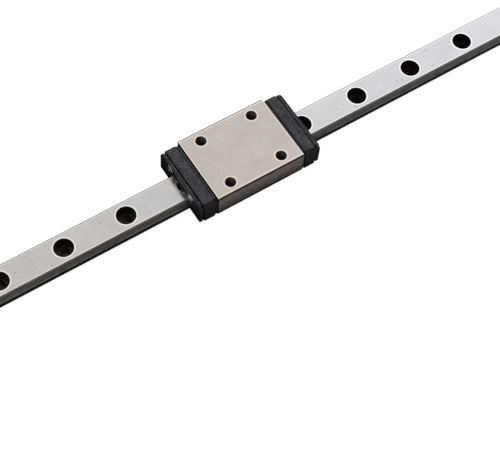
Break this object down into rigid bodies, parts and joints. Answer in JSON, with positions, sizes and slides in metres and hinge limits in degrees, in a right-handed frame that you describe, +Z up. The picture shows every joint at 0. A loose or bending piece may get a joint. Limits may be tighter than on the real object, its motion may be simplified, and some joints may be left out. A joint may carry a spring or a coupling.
{
  "type": "miniature linear guide carriage on its rail",
  "caption": "Miniature recirculating-ball linear guide: a long carriage with black end caps and tapped holes in its top, sliding on a ground steel rail with counterbored mounting holes.",
  "frame": {"origin": "centre of the rail's underside, midway along the rail", "axes": "+X along the rail, +Y across it, +Z up out of the carriage's mounting face"},
  "size_m": [0.15, 0.017, 0.008],
  "materials": {
    "rail_steel": "ground and polished stainless steel, bright silver, fine grind lines along its length",
    "block_steel": "ground stainless steel, warm satin grey, faint grind bands across its top",
    "ball_steel": "polished hardened steel",
    "wire_steel": "bright drawn spring wire",
    "screw_steel": "bright steel, satin",
    "cap_plastic": "moulded black plastic with a faint blue cast, satin",
    "plate_plastic": "moulded black plastic, satin",
    "seal_rubber": "black rubber bonded on a thin plate, satin"
  },
  "bodies": {
    "rail": {"rail": "rail_steel"},
    "carriage": {"carriage_block": "block_steel", "return_plate_front": "plate_plastic", "end_cap_front": "cap_plastic", "end_seal_front": "seal_rubber", "end_screw_front_left": "screw_steel", "end_screw_front_right": "screw_steel", "return_plate_rear": "plate_plastic", "end_cap_rear": "cap_plastic", "end_seal_rear": "seal_rubber", "end_screw_rear_left": "screw_steel", "end_screw_rear_right": "screw_steel", "retainer_wire_left": "wire_steel", "ball_chain_left": "ball_steel", "ball_left_01": "ball_steel", "ball_left_02": "ball_steel", "ball_left_03": "ball_steel", "ball_left_04": "ball_steel", "ball_left_05": "ball_steel", "ball_left_06": "ball_steel", "ball_left_07": "ball_steel", "ball_left_08": "ball_steel", "ball_left_09": "ball_steel", "ball_left_10": "ball_steel", "ball_left_11": "ball_steel", "ball_left_12": "ball_steel", "ball_left_13": "ball_steel", "retainer_wire_right": "wire_steel", "ball_chain_right": "ball_steel", "ball_right_01": "ball_steel", "ball_right_02": "ball_steel", "ball_right_03": "ball_steel", "ball_right_04": "ball_steel", "ball_right_05": "ball_steel", "ball_right_06": "ball_steel", "ball_right_07": "ball_steel", "ball_right_08": "ball_steel", "ball_right_09": "ball_steel", "ball_right_10": "ball_steel", "ball_right_11": "ball_steel", "ball_right_12": "ball_steel", "ball_right_13": "ball_steel"}
  },
  "joints": [
    {"name": "carriage_slide", "type": "slide", "parent": "rail", "child": "carriage", "axis": [1, 0, 0], "range_m": [-0.05085, 0.06835]}
  ]
}
